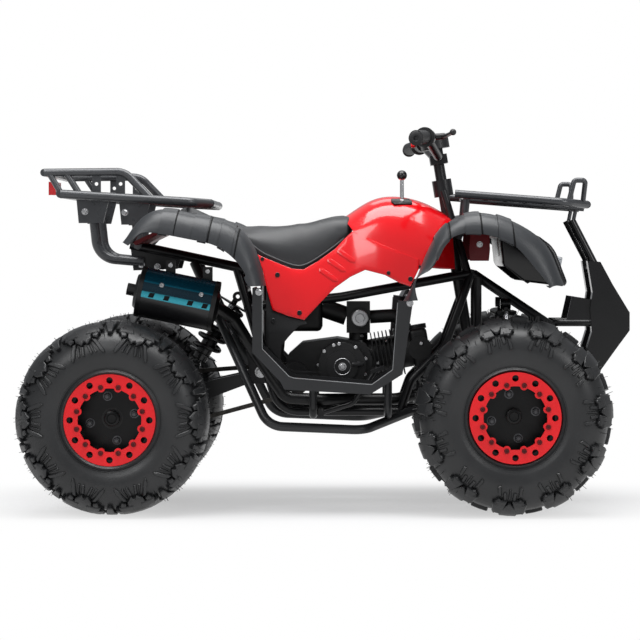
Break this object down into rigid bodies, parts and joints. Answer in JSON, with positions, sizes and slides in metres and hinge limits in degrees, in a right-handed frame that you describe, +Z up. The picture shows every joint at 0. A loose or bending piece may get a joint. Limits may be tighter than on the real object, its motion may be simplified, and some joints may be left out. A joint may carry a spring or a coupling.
{
  "type": "quad bike",
  "caption": "Youth utility quad bike with lugged tyres on ringed wheels, red tank cover, dark flared fenders, saddle, tube racks front and rear, front bumper and an open single-cylinder engine.",
  "frame": {"origin": "on the ground under the middle of the vehicle's length and width", "axes": "+X forwards, +Y to the rider's left, +Z up"},
  "size_m": [1.526, 0.88, 0.9519],
  "materials": {
    "rubber_tyre": "matt moulded rubber",
    "wheel_black": "satin black paint",
    "wheel_red": "gloss red paint",
    "bare_steel": "bare machined steel",
    "frame_black": "satin black powder coat",
    "rack_grey": "gunmetal gloss paint",
    "flare_grey": "satin dark grey moulding",
    "body_red": "gloss red moulding",
    "body_black": "gloss black moulding",
    "liner_red": "dark red moulding",
    "vinyl": "smooth dark grey vinyl",
    "engine_cast": "black painted castings",
    "fin_alloy": "cast alloy",
    "shield_blue": "metallic teal blue",
    "exhaust_black": "heat resistant black paint",
    "grip_rubber": "matt rubber",
    "control_black": "matt black moulding",
    "lens": "clear and red lenses"
  },
  "bodies": {
    "chassis": {"main_frame": "frame_black", "front_arms": "frame_black", "shock_absorbers": "frame_black", "crankcase": "engine_cast", "cylinder": "fin_alloy", "intake": "engine_cast", "exhaust": "exhaust_black", "heat_shield": "shield_blue", "swingarm": "frame_black", "drive_chain": "bare_steel", "front_bumper": "frame_black", "front_rack": "rack_grey", "rear_rack": "rack_grey", "side_guards": "frame_black", "footboards": "flare_grey", "rear_fenders": "flare_grey", "front_fenders": "flare_grey", "seat": "vinyl", "tank_cover": "body_red", "side_panels": "body_red", "lower_panels": "body_black", "body_deck": "liner_red", "front_cowl": "body_black", "lamps": "lens", "foot_controls": "bare_steel"},
    "steering": {"steering_stem": "frame_black", "handlebar": "frame_black", "grips": "grip_rubber", "hand_controls": "control_black"},
    "left knuckle": {"left_knuckle": "frame_black"},
    "right knuckle": {"right_knuckle": "frame_black"},
    "left tie rod": {"left_tie_rod": "bare_steel"},
    "right tie rod": {"right_tie_rod": "bare_steel"},
    "left front wheel": {"front_left_tyre": "rubber_tyre", "front_left_wheel": "wheel_black", "front_left_ring": "wheel_red"},
    "right front wheel": {"front_right_tyre": "rubber_tyre", "front_right_wheel": "wheel_black", "front_right_ring": "wheel_red"},
    "rear axle": {"rear_tyres": "rubber_tyre", "rear_rims": "wheel_black", "rear_rings": "wheel_red", "rear_axle": "bare_steel", "sprocket_and_disc": "bare_steel"}
  },
  "joints": [
    {"name": "steer", "type": "hinge", "parent": "chassis", "child": "steering", "pos_m": [0.36944, 0, 0.34], "axis": [-0.165, 0, 0.9863], "range_deg": [-25, 25]},
    {"name": "left kingpin", "type": "hinge", "parent": "chassis", "child": "left knuckle", "pos_m": [0.452, 0.258, 0.243], "axis": [-0.165, 0, 0.9863], "range_deg": [-25, 25]},
    {"name": "right kingpin", "type": "hinge", "parent": "chassis", "child": "right knuckle", "pos_m": [0.452, -0.258, 0.243], "axis": [-0.165, 0, 0.9863], "range_deg": [-25, 25]},
    {"name": "left tie rod end", "type": "hinge", "parent": "left knuckle", "child": "left tie rod", "pos_m": [0.38491, 0.274, 0.26827], "axis": [-0.165, 0, 0.9863], "range_deg": [-25, 25]},
    {"name": "right tie rod end", "type": "hinge", "parent": "right knuckle", "child": "right tie rod", "pos_m": [0.38491, -0.274, 0.26827], "axis": [-0.165, 0, 0.9863], "range_deg": [-25, 25]},
    {"name": "left front spin", "type": "hinge", "parent": "left knuckle", "child": "left front wheel", "pos_m": [0.452, 0.258, 0.243], "axis": [0, 1, 0], "continuous": true},
    {"name": "right front spin", "type": "hinge", "parent": "right knuckle", "child": "right front wheel", "pos_m": [0.452, -0.258, 0.243], "axis": [0, 1, 0], "continuous": true},
    {"name": "rear spin", "type": "hinge", "parent": "chassis", "child": "rear axle", "pos_m": [-0.526, 0, 0.238], "axis": [0, 1, 0], "continuous": true}
  ],
  "couplings": [
    {"joint": "left kingpin", "follows": "steer", "ratio": 1},
    {"joint": "right kingpin", "follows": "steer", "ratio": 1},
    {"joint": "left tie rod end", "follows": "steer", "ratio": -1},
    {"joint": "right tie rod end", "follows": "steer", "ratio": -1}
  ]
}
